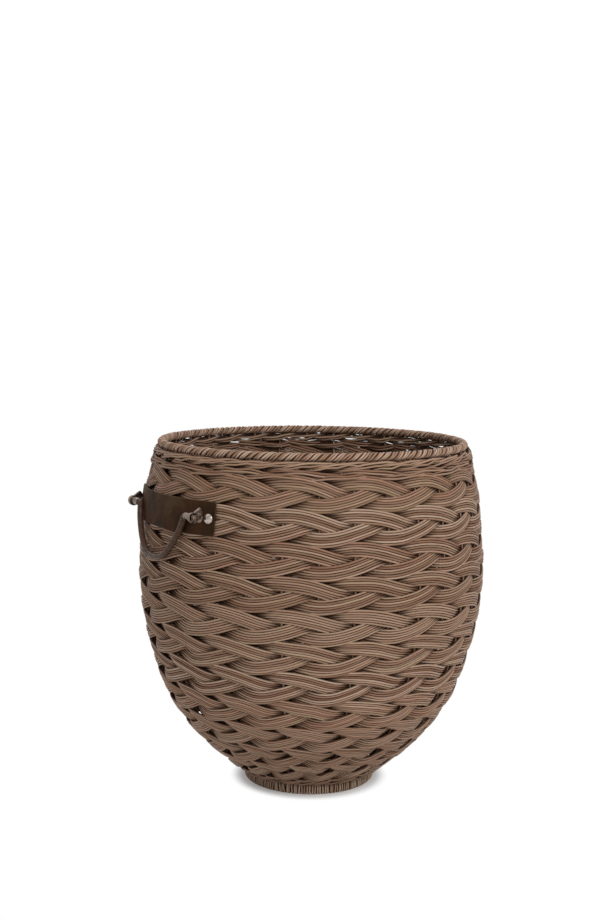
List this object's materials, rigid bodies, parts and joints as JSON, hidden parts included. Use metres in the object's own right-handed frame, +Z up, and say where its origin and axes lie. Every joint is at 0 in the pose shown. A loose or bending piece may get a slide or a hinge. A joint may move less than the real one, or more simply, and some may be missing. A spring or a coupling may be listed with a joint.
{
  "type": "belly basket",
  "caption": "Round bellied basket of braided rattan on upright stakes, with a rolled rim, a bound foot and leather-backed metal bail handles that swing.",
  "frame": {"origin": "middle of the foot, on the surface that the basket stands on", "axes": "+Z up through the mouth; -X out through the middle of the left handle, whose hinge axis runs along Y"},
  "size_m": [0.4679, 0.4492, 0.4509],
  "materials": {
    "rattan": "satin braided rattan rods, grey brown with warmer strands",
    "stake_rattan": "darker plain rattan rod",
    "leather": "smooth dark brown leather with cut edges",
    "nickel": "polished nickel rivet heads",
    "pewter": "antique pewter cast fittings",
    "bronze": "dark bronze coated rod"
  },
  "bodies": {
    "basket": {"foot_border": "rattan", "stake_frame": "stake_rattan", "base_mat": "rattan", "foot_wale": "rattan", "course_01": "rattan", "course_02": "rattan", "course_03": "rattan", "course_04": "rattan", "course_05": "rattan", "course_06": "rattan", "course_07": "rattan", "course_08": "rattan", "course_09": "rattan", "course_10": "rattan", "course_11": "rattan", "top_wale_1": "rattan", "top_wale_2": "rattan", "rim_border": "rattan", "left_band": "leather", "left_rivet_a": "nickel", "left_rivet_burr_a": "nickel", "left_eye_post_a": "pewter", "left_post_washer_a": "pewter", "left_post_nut_a": "pewter", "left_rivet_b": "nickel", "left_rivet_burr_b": "nickel", "left_eye_post_b": "pewter", "left_post_washer_b": "pewter", "left_post_nut_b": "pewter", "right_band": "leather", "right_rivet_a": "nickel", "right_rivet_burr_a": "nickel", "right_eye_post_a": "pewter", "right_post_washer_a": "pewter", "right_post_nut_a": "pewter", "right_rivet_b": "nickel", "right_rivet_burr_b": "nickel", "right_eye_post_b": "pewter", "right_post_washer_b": "pewter", "right_post_nut_b": "pewter"},
    "left_bail": {"left_bail_rod": "bronze", "left_ferrule_a": "pewter", "left_ferrule_b": "pewter", "left_bail_nut_a": "pewter", "left_bail_nut_b": "pewter"},
    "right_bail": {"right_bail_rod": "bronze", "right_ferrule_a": "pewter", "right_ferrule_b": "pewter", "right_bail_nut_a": "pewter", "right_bail_nut_b": "pewter"}
  },
  "joints": [
    {"name": "left_bail_hinge", "type": "hinge", "parent": "basket", "child": "left_bail", "pos_m": [-0.21667, 0, 0.37255], "axis": [0, 1, 0], "range_deg": [0, 170]},
    {"name": "right_bail_hinge", "type": "hinge", "parent": "basket", "child": "right_bail", "pos_m": [0.21251, 0.04227, 0.37255], "axis": [0.1951, -0.9808, 0], "range_deg": [0, 170]}
  ]
}
